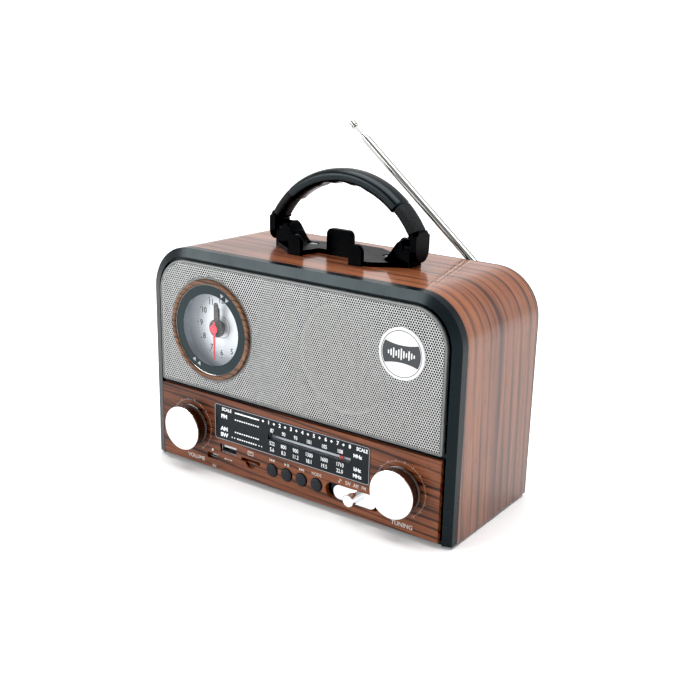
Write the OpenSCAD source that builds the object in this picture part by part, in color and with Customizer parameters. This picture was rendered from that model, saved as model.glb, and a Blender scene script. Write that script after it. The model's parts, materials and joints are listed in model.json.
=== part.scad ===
// Portable table radio with a round clock, a slide-rule tuning dial, a folding carry handle
// with a phone cradle, and a telescopic aerial.
// Millimetres. +X is the radio's right as seen from the front, +Y runs to its back, +Z is up.
// The origin is on the floor, under the middle of the whole footprint, knobs and aerial included.

/* [Cabinet] */
// Width of the cabinet
cabinet_w = 240; // [236:1:250]
// Height of the cabinet, without its feet
cabinet_h = 150; // [148:1:156]
// Depth of the cabinet, from the front frame's edge to the back cover
cabinet_d = 96; // [94:1:110]
// Radius of the two top corners
corner_r = 31; // [28:1:36]
// Thickness of the wooden wrap-round wall
wall = 5; // [4:0.5:6]
// Height of the rubber feet
foot_h = 2; // [1.5:0.5:4]

/* [Front] */
// Width of the frame's sloping face
bezel_w = 5.9; // [5:0.1:7]
// How far the sloping face rises forwards
bezel_rise = 2.15; // [1:0.05:3]
// Width of the dark groove between the frame and the inserts
groove_w = 2; // [1.5:0.1:2.5]
// How far the grille and the panel stand in front of the cabinet
face_proud = 3.7; // [3:0.1:4.5]
// Height of the top edge of the wooden control panel above the cabinet's bottom
panel_h = 53.8; // [52:0.2:55]

/* [Clock] */
// Outer diameter of the clock's ring
clock_d = 67.3; // [66.5:0.1:68]
// Depth of the clock's dial behind the front plane
clock_dial_depth = 6.3; // [6:0.1:7]

/* [Controls] */
// Diameter of the two knobs
knob_d = 30.4; // [28:0.2:31]
// Distance of a knob's axis from the middle
knob_x = 85; // [84:1:87]
// How far the knobs' faces stand in front of the cabinet
knob_reach = 14.1; // [13:0.1:16]
// Diameter of the four push buttons
button_d = 8.7; // [8:0.1:9]
// Distance between two push buttons
button_pitch = 12.1; // [12:0.1:12.3]
// Full turn of the tuning knob, in degrees
tuning_turn = 300; // [270:5:330]
// Full travel of the dial pointer
pointer_travel = 62; // [60:1:64]

/* [Handle] */
// Outer radius of the handle's arch
arch_r = 66.5; // [65:0.5:67]
// Radial thickness of the handle's arch
arch_t = 8; // [7.5:0.5:9]

/* [Aerial] */
// Lean of the stored aerial from upright, towards the clock's side, in degrees
aerial_lean = 50.5; // [0:0.5:60]
// Length of the closed aerial from its hinge to its tip
aerial_len = 158; // [155:1:165]

/* [Hidden] */
$fn = 64;

// Main levels. Depths are counted from the cabinet's front plane towards the back.
clip_wall = 1.2;
tube_r = [2.8, 2.15, 1.55];                     // outer radii of the aerial's three tubes
bore_r = [2.2, 1.6, 1.05];                      // their bores
aerial_depth = cabinet_d + 5;                   // depth of the aerial's axis
back_reach = aerial_depth + tube_r[0] + 0.3 + clip_wall - cabinet_d;
front_y = -(cabinet_d - knob_reach + back_reach) / 2;
base_z = foot_h;
top_z = base_z + cabinet_h;
half_w = cabinet_w / 2;
frame_depth = 6.2;                              // where the frame ends and the wood begins
cover_t = 1.5;
cover_depth = cabinet_d - cover_t;              // inner face of the back cover
baffle_a = -0.5;                                // front and back faces of the frame's baffle
baffle_b = 2.5;
insert_in = bezel_w + groove_w;
panel_top = base_z + panel_h;
panel_bottom = base_z + 1.8;
grille_bottom = panel_top + 2.5;
handle_depth = cabinet_d / 2 + 5.6;

// Places on the front, as [x, z]
clock_at = [-66.2, base_z + 99];
speaker_at = [38, base_z + 99];
badge_at = [82.6, base_z + 112.6];
knob_z = base_z + 28.8;
button_at = [for (i = [0:3]) [-14 + i * button_pitch, base_z + 14]];
usb_at = [-52.15, base_z + 18.25];
card_at = [-32.5, base_z + 15.15];
dc_at = [-66.3, base_z + 10.25];
lamp_at = [-66.3, base_z + 14.9];
band_at = [51.65, base_z + 13.8];
dial_at = [-0.4, base_z + 37.1];
dial_size = [126.2, 24.8];
board_z = base_z + 12.35;                       // underside of the socket board

// Cord drive of the pointer
cord_r = 0.4;
cord_depth = 6.5;
cord_gap = 0.3;
drum_r = pointer_travel / (tuning_turn * PI / 180);
pulley_r = 3;
drum_at = [knob_x, knob_z];
pulley_at = [-26, knob_z + drum_r - pulley_r];
cord_z = knob_z + drum_r;
pointer_x = 38.6;
guide_at = [5.8, cord_z + 3.26];                // guide bar of the pointer, as [depth, z]

// Handle
arch_z = base_z + 139;
pivot_z = base_z + 161;
pivot_r = 2;
sleeve_low = 30.6;                              // the handle's seams, in degrees above level
sleeve_high = 48.5;
ear_x = 53.2;                                   // outer face of the base's ears
cheek_x = 53.5;                                 // inner and outer faces of the caps' cheeks
cap_x = 58.2;
cap_depth = 15.6;
plate_t = 3;

// Back
door_half = 39.6;
door_low = base_z + 9.6;
door_high = base_z + 31.6;
aerial_at = [89.7, base_z + 130];
vent_at = [34, base_z + 92];

// Clearances
run = 0.05;

// ---------------------------------------------------------------- shared shapes

// Extrudes a shape drawn in x and z from one depth to another.
module slab(depth_a, depth_b) {
  translate([0, front_y + depth_b, 0])
    rotate([90, 0, 0])
      linear_extrude(depth_b - depth_a) children();
}

// A disc or, with a hole, a ring, lying across the depth.
module disc(at, r, depth_a, depth_b, hole = 0) {
  slab(depth_a, depth_b)
    translate(at)
      difference() {
        circle(r);
        if (hole > 0) circle(hole);
      }
}

// A turned solid about a depth axis, from points given as [radius, depth].
module turned(at, points) {
  translate([at[0], front_y, at[1]])
    rotate([-90, 0, 0])
      rotate_extrude() polygon(points);
}

// An upright block: x and z limits, and depth limits.
module block(x0, x1, z0, z1, depth_a, depth_b) {
  translate([x0, front_y + depth_a, z0])
    cube([x1 - x0, depth_b - depth_a, z1 - z0]);
}

// The cabinet's outline, inset all round: square below, round above.
module outline(inset) {
  r = corner_r - inset;
  translate([-half_w + inset, base_z + inset])
    square([cabinet_w - 2 * inset, cabinet_h - corner_r - inset]);
  translate([-half_w + corner_r, base_z + inset])
    square([cabinet_w - 2 * corner_r, cabinet_h - 2 * inset]);
  for (side = [-1, 1])
    translate([side * (half_w - corner_r), top_z - corner_r]) circle(r);
}

// A rectangle with round corners, centred.
module round_rect(w, h, r) {
  square([w - 2 * r, h], center = true);
  square([w, h - 2 * r], center = true);
  for (x = [-1, 1], z = [-1, 1])
    translate([x * (w / 2 - r), z * (h / 2 - r)]) circle(r);
}

module stadium(w, h) {
  square([w - h, h], center = true);
  for (x = [-1, 1]) translate([x * (w - h) / 2, 0]) circle(h / 2);
}

boss_r = 5;

// The cabinet's four screw bosses and back screws, as [x, z].
function corner_point(side, up) =
  up ? [side * (half_w - corner_r + 15.6), top_z - corner_r + 15.6]
     : [side * (half_w - 9.5), base_z + 9.5];

// ---------------------------------------------------------------- cabinet

module cabinet_shell() color("#6b3020") {
  difference() {
    slab(frame_depth, cover_depth)
      difference() {
        outline(0);
        outline(wall);
      }
    for (side = [-1, 1])
      translate([side * 30.5, front_y + handle_depth + 4.5, top_z - wall - 1])
        cylinder(r = 1.5, h = wall + 2);
  }
  for (side = [-1, 1], up = [0, 1])
    disc(corner_point(side, up), boss_r, cover_depth - 22, cover_depth, 1.5);
}

module feet() color("#202022")
  for (x = [-1, 1], depth = [14, cabinet_d - 14])
    translate([x * 95, front_y + depth, 0]) cylinder(r = 7, h = foot_h);

// Cross-section of the frame's ring: [distance in from the edge, depth].
frame_ring = [[0, frame_depth], [0, 0], [bezel_w, -bezel_rise], [bezel_w, frame_depth]];

module front_frame() color("#1b1d20") {
  straight = cabinet_h - corner_r;
  for (side = [-1, 1]) {
    translate([side * half_w, front_y, base_z])
      linear_extrude(straight) polygon([for (p = frame_ring) [-side * p[0], p[1]]]);
    translate([side * (half_w - corner_r), front_y, top_z - corner_r])
      rotate([-90, 0, 0])
        rotate([0, 0, side > 0 ? -90 : 180])
          rotate_extrude(angle = 90) polygon([for (p = frame_ring) [corner_r - p[0], p[1]]]);
  }
  translate([-half_w + corner_r, front_y, top_z])
    rotate([0, 90, 0])
      linear_extrude(cabinet_w - 2 * corner_r) polygon([for (p = frame_ring) [p[0], p[1]]]);
  difference() {
    slab(baffle_a, baffle_b) outline(bezel_w - 0.5);
    baffle_openings();
  }
  // Bottom strip that joins the frame's two legs below the panel
  block(-half_w + bezel_w - 1, half_w - bezel_w + 1, base_z, base_z + 6, baffle_a, frame_depth);
  // Spigot that locates the wooden wrap
  slab(baffle_b, frame_depth + 4)
    difference() {
      outline(wall);
      outline(wall + 2);
    }
  // Guide bar of the pointer with its two brackets, and the pulley's pin
  translate([-23.5, front_y + guide_at[0], guide_at[1]])
    rotate([0, 90, 0]) cylinder(r = 1.2, h = 79);
  for (x = [-25, 54.5])
    block(x, x + 2, cord_z + 1.2, cord_z + 5.6, baffle_b, 8);
  disc(pulley_at, 1.5, baffle_b, 9);
}

module baffle_openings() {
  far = baffle_b + 1;
  disc(clock_at, 31.1, baffle_a - 1, far);
  disc(speaker_at, 35, baffle_a - 1, far);
  for (at = button_at) disc(at, button_d / 2 + 0.35, baffle_a - 1, far);
  disc([-knob_x, knob_z], 3.6, baffle_a - 1, far);
  disc([knob_x, knob_z], 3.3, baffle_a - 1, far);
  slab(baffle_a - 1, far) {
    translate(usb_at) square([14.5, 5.9], center = true);
    translate(card_at) square([16.2, 2.3], center = true);
    translate(dc_at) square([9.8, 4.1], center = true);
    translate([band_at[0] - 1.5, band_at[1]]) square([13.4, 4], center = true);
  }
  disc(lamp_at, 1.1, baffle_a - 1, far);
  // Recess that the needle runs in, and the slot its neck goes through
  block(-21, 54, cord_z - 7.2, cord_z + 1.1, baffle_a - 1, 1.2);
  block(-21, 54, cord_z - 0.9, cord_z + 1.1, baffle_a - 1, far);
}

module speaker_grille() color("#b9b7b2") {
  lip = 1.2;
  difference() {
    slab(-face_proud, baffle_a) grille_outline(0);
    slab(-face_proud + 0.8, baffle_a + 1) grille_outline(lip);
    disc(clock_at, clock_d / 2 + 0.15, -face_proud - 1, 1);
  }
}

module grille_outline(inset)
  intersection() {
    outline(insert_in + inset);
    translate([-half_w, grille_bottom + inset]) square([cabinet_w, cabinet_h]);
  }

module control_panel() color("#5a2a1c")
  difference() {
    block(-half_w + insert_in, half_w - insert_in, panel_bottom, panel_top, -face_proud, baffle_a);
    slab(-face_proud - 1, baffle_a + 1) {
      translate(dial_at) round_rect(dial_size[0], dial_size[1], 2);
      translate(usb_at) square([14.5, 5.9], center = true);
      translate(card_at) square([16.2, 2.3], center = true);
      translate(dc_at) square([9.8, 4.1], center = true);
      translate([50.3, band_at[1]]) stadium(41.8, 10.2);
    }
    for (at = button_at) disc(at, button_d / 2 + 0.35, -face_proud - 1, baffle_a + 1);
    for (side = [-1, 1]) disc([side * knob_x, knob_z], 4.5, -face_proud - 1, baffle_a + 1);
    disc(lamp_at, 1.1, -face_proud - 1, baffle_a + 1);
    // Thumb recess below the card slot
    intersection() {
      disc(card_at - [0, 0.6], 4.5, -face_proud - 1, -face_proud + 1.6);
      block(-60, 0, 0, card_at[1], -face_proud - 2, 0);
    }
  }

module badge() color("#e8e8e6")
  turned(badge_at, [[0, -face_proud], [0, -face_proud - 1], [15.3, -face_proud - 1],
                    [15.8, -face_proud - 0.5], [15.8, -face_proud]]);

// ---------------------------------------------------------------- tuning dial

module dial_lens() color("#22303c", 0.5)
  slab(-face_proud - 0.4, -2.1)
    translate(dial_at) round_rect(dial_size[0] - 0.2, dial_size[1] - 0.2, 1.9);

module dial_plate() color("#101418")
  difference() {
    slab(-2.1, baffle_a) translate(dial_at) round_rect(dial_size[0] - 0.2, dial_size[1] - 0.2, 1.9);
    block(-16.9, 48.9, cord_z - 5.5, cord_z - 1.55, -3, 0);
  }

module dial_pointer() color("#c8231e") {
  x = pointer_x;
  block(x - 1.35, x + 1.35, cord_z - 6.8, cord_z + 0.7, -0.1, 0.7);
  block(x - 1.35, x + 1.35, cord_z - 0.5, cord_z + 0.7, 0.7, 4);
  difference() {
    block(x - 5, x + 5, cord_z + 0.7, cord_z + 5.6, 3.2, 8.4);
    translate([x - 6, front_y + guide_at[0], guide_at[1]])
      rotate([0, 90, 0]) cylinder(r = 1.2 + run, h = 12);
  }
  block(x - 5, x + 5, cord_z - 0.5, cord_z + 0.7, 3.2, 5.6);
  block(x - 5, x + 5, cord_z - 1, cord_z + 0.7, 7.4, 8.4);
}

// The cord's tangent directions round the pulley and the drum
cord_line = drum_at - pulley_at;
cord_slope = atan2(cord_line[1], cord_line[0]);
cord_spread = acos((pulley_r - drum_r) / norm(cord_line));
function on_circle(at, r, angle) = at + r * [cos(angle), sin(angle)];

// The shape that a cord pulled round the two wheels encloses, grown by extra.
module cord_loop(extra) {
  high = cord_slope + cord_spread;
  low = cord_slope - cord_spread;
  translate(pulley_at) circle(pulley_r + extra);
  translate(drum_at) circle(drum_r + extra);
  polygon([on_circle(pulley_at, pulley_r + extra, high), on_circle(drum_at, drum_r + extra, high),
           drum_at, on_circle(drum_at, drum_r + extra, low),
           on_circle(pulley_at, pulley_r + extra, low), pulley_at]);
}

module dial_cord() color("#d9c69a")
  slab(cord_depth - cord_r, cord_depth + cord_r)
    difference() {
      cord_loop(cord_r);
      cord_loop(-cord_r);
    }

// A grooved wheel for the cord, with its bore.
module cord_wheel(at, r, rim, hole) {
  floor_r = r - cord_r - cord_gap;
  side = cord_r + cord_gap;
  turned(at, [[hole, cord_depth - 1.5], [r + rim, cord_depth - 1.5], [r + rim, cord_depth - side],
              [floor_r, cord_depth - side], [floor_r, cord_depth + side],
              [r + rim, cord_depth + side], [r + rim, cord_depth + 1.5], [hole, cord_depth + 1.5]]);
}

module cord_pulley() color("#e6e2d4") cord_wheel(pulley_at, pulley_r, 1.2, 1.5 + run);

// ---------------------------------------------------------------- clock

clock_r = clock_d / 2;
glass_r = clock_r - 3.05;

module clock_bezel() color("#7a4630")
  turned(clock_at, [[glass_r + 0.15, baffle_a], [glass_r + 0.15, -5.2], [glass_r + 0.7, -5.7],
                    [clock_r - 0.5, -5.7], [clock_r, -5.2], [clock_r, baffle_a]]);

module clock_lens() color("#a9b4bc", 0.35) disc(clock_at, glass_r, -4.2, -2.7);

module clock_cup() color("#8f979c")
  difference() {
    disc(clock_at, 30.6, -2.6, 8.4);
    disc(clock_at, 29.3, -3, 7);
    disc(clock_at, 3.6, 6, 9);
  }

module clock_dial() color("#dfe2e4") disc(clock_at, 29.2, clock_dial_depth, 6.95, 3.6);

module clock_movement() color("#2b2d30")
  difference() {
    union() {
      block(clock_at[0] - 28, clock_at[0] + 28, clock_at[1] - 28, clock_at[1] + 28, 8.5, 25);
      disc(clock_at, 3.5, 5.8, 9);
      disc(clock_at + [14, -14], 5, 25, 28);
    }
    disc(clock_at, 2.2 + run, 5, 12);
  }

// A clock hand: a blade, a round boss and the pipe that turns it.
module clock_hand(at, blade, width, boss, depth_a, depth_b, pipe_r, pipe_end, hole) {
  difference() {
    union() {
      slab(depth_a, depth_b)
        translate(at) {
          circle(boss);
          translate([-width / 2, 0]) square([width, blade - width / 2]);
          translate([0, blade - width / 2]) circle(width / 2);
        }
      disc(at, pipe_r, depth_b, pipe_end);
    }
    if (hole > 0) disc(at, hole, depth_a - 1, pipe_end + 1);
  }
}

module hour_hand() color("#17181a") clock_hand(clock_at, 14.2, 3.6, 6, 2.4, 3, 2.2, 11, 1.2 + run);
module minute_hand() color("#17181a") clock_hand(clock_at, 17.5, 3.6, 6, 1.1, 1.7, 1.2, 11, 0.5 + run);

module second_hand() color("#c8231e") {
  slab(-0.9, -0.4)
    translate(clock_at) {
      polygon([[-0.7, 5], [0.7, 5], [0.9, 0], [0.4, -21], [-0.4, -21], [-0.9, 0]]);
      circle(2.6);
    }
  disc(clock_at, 3, -1.3, -0.9);
  disc(clock_at, 0.5, -0.4, 11);
}

// ---------------------------------------------------------------- knobs

knob_r = knob_d / 2;

// The knob's hollow body, from its skirt near the panel to the cap's seat.
module knob_body(at) {
  back = -face_proud - 0.5;
  turned(at, [[3, back - 1], [5, back - 1], [5, -11.5], [12.5, -11.5], [12.5, back],
              [knob_r - 0.3, back], [knob_r - 0.3, back - 1.2], [knob_r - 0.7, back - 1.6],
              [knob_r - 0.7, -12.6], [3, -12.6]]);
}

module knob_cap(at)
  turned(at, [[0, -12.6], [knob_r, -12.6], [knob_r, -knob_reach + 0.4],
              [knob_r - 0.4, -knob_reach], [0, -knob_reach]]);

module volume_knob() color("#3a2018") {
  knob_body([-knob_x, knob_z]);
  disc([-knob_x, knob_z], 3, -12.6, 9.5);
}
module volume_cap() color("#d8dadc") knob_cap([-knob_x, knob_z]);
module tuning_knob() color("#3a2018") knob_body([knob_x, knob_z]);
module tuning_cap() color("#d8dadc") knob_cap([knob_x, knob_z]);

module volume_pot() color("#7e8288")
  difference() {
    union() {
      disc([-knob_x, knob_z], 3.5, baffle_a, 3);
      block(-knob_x - 8, -knob_x + 8, knob_z - 8, knob_z + 8, 2.6, 11);
    }
    disc([-knob_x, knob_z], 3 + run, -2, 10);
  }

module tuning_shaft() color("#c3c5c8") {
  disc([knob_x, knob_z], 3, -12.6, 16.4);
  cord_wheel(drum_at, drum_r, 1.2, 2.5);
}

module tuning_capacitor() color("#d6d2c0")
  difference() {
    block(knob_x - 10, knob_x + 10, knob_z - 10, knob_z + 10, 13.7, 23.6);
    disc([knob_x, knob_z], 3 + run, 13, 17);
  }

// ---------------------------------------------------------------- buttons and band switch

module push_button(at) color("#20262b") {
  turned(at, [[0, -4.9], [button_d / 2 - 0.6, -4.9], [button_d / 2, -4.4], [button_d / 2, 2.9],
              [5.5, 2.9], [5.5, 4.3], [2, 4.3], [2, 6.1], [0, 6.1]]);
}
module button_1() push_button(button_at[0]);
module button_2() push_button(button_at[1]);
module button_3() push_button(button_at[2]);
module button_4() push_button(button_at[3]);

module tact_switches() color("#8a8d90")
  for (at = button_at) {
    block(at[0] - 3, at[0] + 3, at[1] - 3, at[1] + 3, 8, 12);
    disc(at, 1.7, 7.2, 8);
  }

module band_slider() color("#d8dadc") {
  slab(-3.3, -1.8) translate(band_at) stadium(32.3, 9.4);
  turned(band_at, [[0, -3.3], [3.9, -3.3], [3.9, -10.3], [3.5, -10.7], [0, -10.7]]);
  block(band_at[0] - 1.5, band_at[0] + 1.5, band_at[1] - 1.5, band_at[1] + 1.5, -1.8, 7.5);
}

module band_switch() color("#9a9da0")
  difference() {
    block(band_at[0] - 15, band_at[0] + 13, band_at[1] - 5, band_at[1] + 5, 6, 12);
    block(band_at[0] - 9, band_at[0] + 6, band_at[1] - 2, band_at[1] + 2, 5, 8.2);
  }

// ---------------------------------------------------------------- sockets and boards

module usb_socket() color("#c8cacc") {
  difference() {
    block(usb_at[0] - 6.6, usb_at[0] + 6.6, usb_at[1] - 2.8, usb_at[1] + 2.8, -2.5, 12.5);
    block(usb_at[0] - 6.2, usb_at[0] + 6.2, usb_at[1] - 2.4, usb_at[1] + 2.4, -4, 11.5);
  }
  block(usb_at[0] - 5.6, usb_at[0] + 5.6, usb_at[1] + 0.3, usb_at[1] + 2.1, -1.5, 11.5);
  block(usb_at[0] - 5, usb_at[0] + 5, board_z + 1.5, usb_at[1] - 2.8, 4, 12);
}

module card_socket() color("#b4b6b8")
  difference() {
    block(card_at[0] - 7.6, card_at[0] + 7.6, board_z + 1.5, card_at[1] + 1.4, 2.7, 17);
    block(card_at[0] - 5.7, card_at[0] + 5.7, card_at[1] - 0.5, card_at[1] + 0.5, 2, 16);
  }

module dc_socket() color("#c8cacc") {
  difference() {
    union() {
      block(dc_at[0] - 4, dc_at[0] + 4, dc_at[1] - 1.5, dc_at[1] + 1.7, -1.5, 6);
      block(dc_at[0] - 4, dc_at[0] + 4, dc_at[1] - 1.5, board_z, baffle_b + 0.3, 6);
    }
    block(dc_at[0] - 3.6, dc_at[0] + 3.6, dc_at[1] - 1.1, dc_at[1] + 1.3, -2, 5);
  }
  block(dc_at[0] - 2.6, dc_at[0] + 2.6, dc_at[1] - 0.2, dc_at[1] + 0.5, -1, 5);
}

module power_lamp() color("#b8b8b0") disc(lamp_at, 0.9, -face_proud - 0.2, 4.5);

module port_board() color("#2f6b3c")
  difference() {
    block(-76, -22, board_z, board_z + 1.5, 3, 24);
    disc(lamp_at, 1.1, 2, 5);
  }

module main_board() color("#2f6b3c")
  difference() {
    block(-21.5, 104, base_z + 8, base_z + 53, 12, 13.6);
    disc([knob_x, knob_z], 4, 11, 15);
  }

module speaker_basket() color("#54585c")
  turned(speaker_at, [[34.5, 2.6], [39.5, 2.6], [39.5, 4], [35.5, 4.2], [22, 24], [24, 24],
                      [24, 38], [0, 38], [0, 25.5], [20.5, 25.5], [20.5, 22], [34.5, 3.6]]);

module speaker_cone() color("#2a2a2c")
  turned(speaker_at, [[0, 13], [6, 14], [9.5, 17], [12, 17], [30, 4.4], [32, 3.4], [33.8, 4.6],
                      [33.2, 5], [30.6, 5.4], [12.6, 18.4], [10, 25], [0, 25]]);

module ferrite_aerial() color("#4a4038") {
  z = top_z - 16;
  translate([-50, front_y + 60, z]) rotate([0, 90, 0]) cylinder(r = 5, h = 100);
  translate([-30, front_y + 60, z]) rotate([0, 90, 0]) cylinder(r = 6.2, h = 30);
  for (x = [-42, 38])
    translate([x, front_y + 56, z]) cube([4, 8, top_z - wall - z]);
}

// ---------------------------------------------------------------- back

battery_depth = cabinet_d - 14;

module battery_cell() color("#3c6fae")
  translate([-32.5, front_y + battery_depth, base_z + 20])
    rotate([0, 90, 0]) cylinder(r = 9.2, h = 65);

module back_cover() color("#1b1d20")
  difference() {
    union() {
      slab(cover_depth, cabinet_d) outline(0);
      slab(cover_depth - 3, cover_depth)
        difference() {
          outline(wall + 0.2);
          outline(wall + 1.7);
        }
      block(-43.5, 43.5, base_z + 6.5, base_z + 34.5, cabinet_d - 26, cover_depth);
      // Open cradle for the folded aerial
      block(-66, -60, aerial_at[1] - tube_r[0] - 1.5, aerial_at[1] + 2,
            cabinet_d, aerial_depth + tube_r[0] + 0.3 + clip_wall);
    }
    block(-67, -59, aerial_at[1] - tube_r[0] - 0.3, aerial_at[1] + 3,
          aerial_depth - tube_r[0] - 0.3, aerial_depth + tube_r[0] + 0.3);
    block(-42, 42, base_z + 8, base_z + 33, cabinet_d - 24.5, cabinet_d + 1);
    for (side = [-1, 1]) {
      translate([side * 42.6, front_y + cabinet_d - 1.1, door_low])
        rotate([0, 90, 0]) cylinder(r = 0.8 + run, h = 2.4, center = true);
      for (up = [0, 1]) {
        disc(corner_point(side, up), boss_r + 0.3, cover_depth - 4, cover_depth);
        disc(corner_point(side, up), 1.8, cover_depth - 4, cabinet_d + 1);
      }
    }
    disc(aerial_at, 2 + run, cover_depth - 1, cabinet_d + 1);
    for (i = [-4:4])
      block(vent_at[0] - 28, vent_at[0] + 28, vent_at[1] + i * 6 - 1.2, vent_at[1] + i * 6 + 1.2,
            cover_depth - 1, cabinet_d + 1);
  }

module battery_door() color("#1b1d20") {
  block(-41.4, 41.4, door_low, base_z + 32.5, cabinet_d - 1.3, cabinet_d);
  translate([0, front_y + cabinet_d - 1.1, door_low])
    rotate([0, 90, 0]) {
      cylinder(r = 1.1, h = 82.8, center = true);
      cylinder(r = 0.8, h = 86.2, center = true);
    }
}

module cover_screws() color("#8d9094")
  for (side = [-1, 1], up = [0, 1]) {
    at = corner_point(side, up);
    turned(at, [[0, cabinet_d], [3, cabinet_d], [3, cabinet_d + 1.4], [0, cabinet_d + 1.4]]);
    disc(at, 1.4, cover_depth - 14, cabinet_d);
  }

// ---------------------------------------------------------------- aerial

// Places children in the aerial's own frame: hinge at the origin, +Z along the aerial.
module in_aerial()
  translate([aerial_at[0], front_y + aerial_depth, aerial_at[1]])
    rotate([0, -aerial_lean, 0]) children();

module aerial_seat() color("#1b1d20") disc(aerial_at, 8, cabinet_d, cabinet_d + 1.1, 2 + run);

module aerial_swivel() color("#c9ccd0") {
  stand = aerial_depth - cabinet_d;
  in_aerial() {
    translate([0, -stand + 2.2, 0]) rotate([90, 0, 0]) cylinder(r = 5, h = 0.8);
    translate([0, -stand + 1.4, 0]) rotate([90, 0, 0]) cylinder(r = 2, h = 8);
    for (side = [-1, 1])
      translate([side * 2.7, 0, 0]) rotate([0, 90, 0]) {
        cylinder(r = 2.6, h = 1.8, center = true);
        translate([-2.6, -stand + 2, -0.9]) cube([5.2, stand - 2, 1.8]);
      }
    rotate([0, 90, 0]) cylinder(r = 1.1, h = 5.4, center = true);
  }
}

tube_end = [aerial_len - 16.5, aerial_len - 14.5, aerial_len - 12.5];

module aerial_tube_1() color("#d8dadc")
  in_aerial() {
    difference() {
      union() {
        rotate([0, 90, 0]) cylinder(r = 2.4, h = 3, center = true);
        translate([-1.5, -1.9, 0]) cube([3, 3.8, 9]);
      }
      rotate([0, 90, 0]) cylinder(r = 1.1 + run, h = 4, center = true);
    }
    difference() {
      translate([0, 0, 8]) cylinder(r = tube_r[0], h = tube_end[0] - 8);
      translate([0, 0, 9.5]) cylinder(r = bore_r[0], h = aerial_len);
    }
  }

module telescope_tube(i, foot)
  in_aerial()
    difference() {
      translate([0, 0, foot]) cylinder(r = tube_r[i], h = tube_end[i] - foot);
      translate([0, 0, foot + 1]) cylinder(r = bore_r[i], h = aerial_len);
    }

module aerial_tube_2() color("#d8dadc") telescope_tube(1, 10);
module aerial_tube_3() color("#d8dadc") telescope_tube(2, 11.5);

module aerial_tip() color("#d8dadc")
  in_aerial() {
    translate([0, 0, 13]) cylinder(r = bore_r[2] - run, h = aerial_len - 13 - 4);
    translate([0, 0, aerial_len - 4.5]) cylinder(r = 2.2, h = 4.5);
  }

// ---------------------------------------------------------------- handle

// Builds children, drawn at the right-hand side, there or mirrored to the left.
module on_side(side) mirror([side > 0 ? 0 : 1, 0, 0]) children();

// A length of the handle's arch: a round-cornered section swept between two angles.
module arch(r_in, r_out, depth, corner, from, to)
  translate([0, front_y + handle_depth, arch_z])
    rotate([90, 0, 0]) rotate([0, 0, from])
      rotate_extrude(angle = to - from)
        translate([(r_in + r_out) / 2, 0]) round_rect(r_out - r_in, depth, corner);

// Places children on the handle's pivot axis, with +Z along +X.
module on_pivot(x)
  translate([x, front_y + handle_depth, pivot_z]) rotate([0, 90, 0]) children();

module handle_base() color("#1d1f22")
  translate([0, front_y + handle_depth, top_z])
    difference() {
      union() {
        linear_extrude(plate_t) {
          polygon([[-32, -21], [-20, -21], [-17, -7], [17, -7], [20, -21], [32, -21],
                   [52, -7.2], [52, 7.2], [30, 13], [13, 22], [-13, 22], [-30, 13],
                   [-52, 7.2], [-52, -7.2]]);
          for (side = [-1, 1]) translate([side * (ear_x - 7.2), 0]) circle(7.2);
        }
        for (side = [-1, 1]) mirror([side > 0 ? 0 : 1, 0, 0]) {
          // Ear with its ramp
          translate([0, 7, 0]) rotate([90, 0, 0]) linear_extrude(14) ear_ramp();
          translate([ear_x - 9.4, 0, pivot_z - top_z]) rotate([0, 90, 0]) cylinder(r = 6.2, h = 9.4);
          translate([ear_x - 9.4, -7, 0]) cube([9.4, 14, pivot_z - top_z]);
          // Front tab of the phone cradle
          translate([23.9, -21, 0]) rotate([90, 0, 0]) linear_extrude(3) {
            translate([-4.9, 0]) square([9.8, 8.4]);
            translate([0, 8.4]) circle(4.9);
          }
        }
        // Tall rear tab
        translate([0, -4.5, 0]) rotate([90, 0, 0]) linear_extrude(3.5) {
          translate([-10, 0]) square([20, 13]);
          translate([0, 12.5]) round_rect(20, 10, 4);
        }
      }
      for (side = [-1, 1]) {
        translate([side * 30.5, 4.5, -1]) cylinder(r = 1.8, h = 6);
        translate([side * 30.5, 4.5, 1.4]) linear_extrude(4) stadium(9, 6.4);
        translate([side * (ear_x - 4.5), 0, pivot_z - top_z])
          rotate([0, 90, 0]) cylinder(r = pivot_r + run, h = 12, center = true);
      }
    }

// The ear's S-shaped ramp, in x and height above the cabinet's top.
module ear_ramp() {
  foot = [33, plate_t];
  head = [ear_x - 6.4, pivot_z - top_z + 5.4];
  middle = (foot + head) / 2;
  steps = 12;
  polygon(concat(
    [[foot[0] - 2, 0]],
    [for (i = [0:steps]) let (t = i / steps)
      [foot[0] + (head[0] - foot[0]) * t,
       foot[1] + (head[1] - foot[1]) * (1 - cos(180 * t)) / 2]],
    [[ear_x - 5, pivot_z - top_z], [ear_x - 5, 0]]));
}

module handle_screws() color("#8d9094")
  for (side = [-1, 1])
    translate([side * 30.5, front_y + handle_depth + 4.5, top_z - wall - 3]) {
      cylinder(r = 1.4, h = wall + 5);
      translate([0, 0, wall + 4.4]) cylinder(r = 2.9, h = 1.2);
    }

module handle_grip() color("#20242a")
  arch(arch_r - arch_t - 1.6, arch_r + 0.3, 16, 4.6, sleeve_high, 180 - sleeve_high);

module sleeve()
  arch(arch_r - arch_t, arch_r, 15, 3.8, sleeve_low, sleeve_high - 0.01);

module handle_sleeve_right() color("#23272c") on_side(1) sleeve();
module handle_sleeve_left() color("#23272c") on_side(-1) sleeve();

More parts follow.
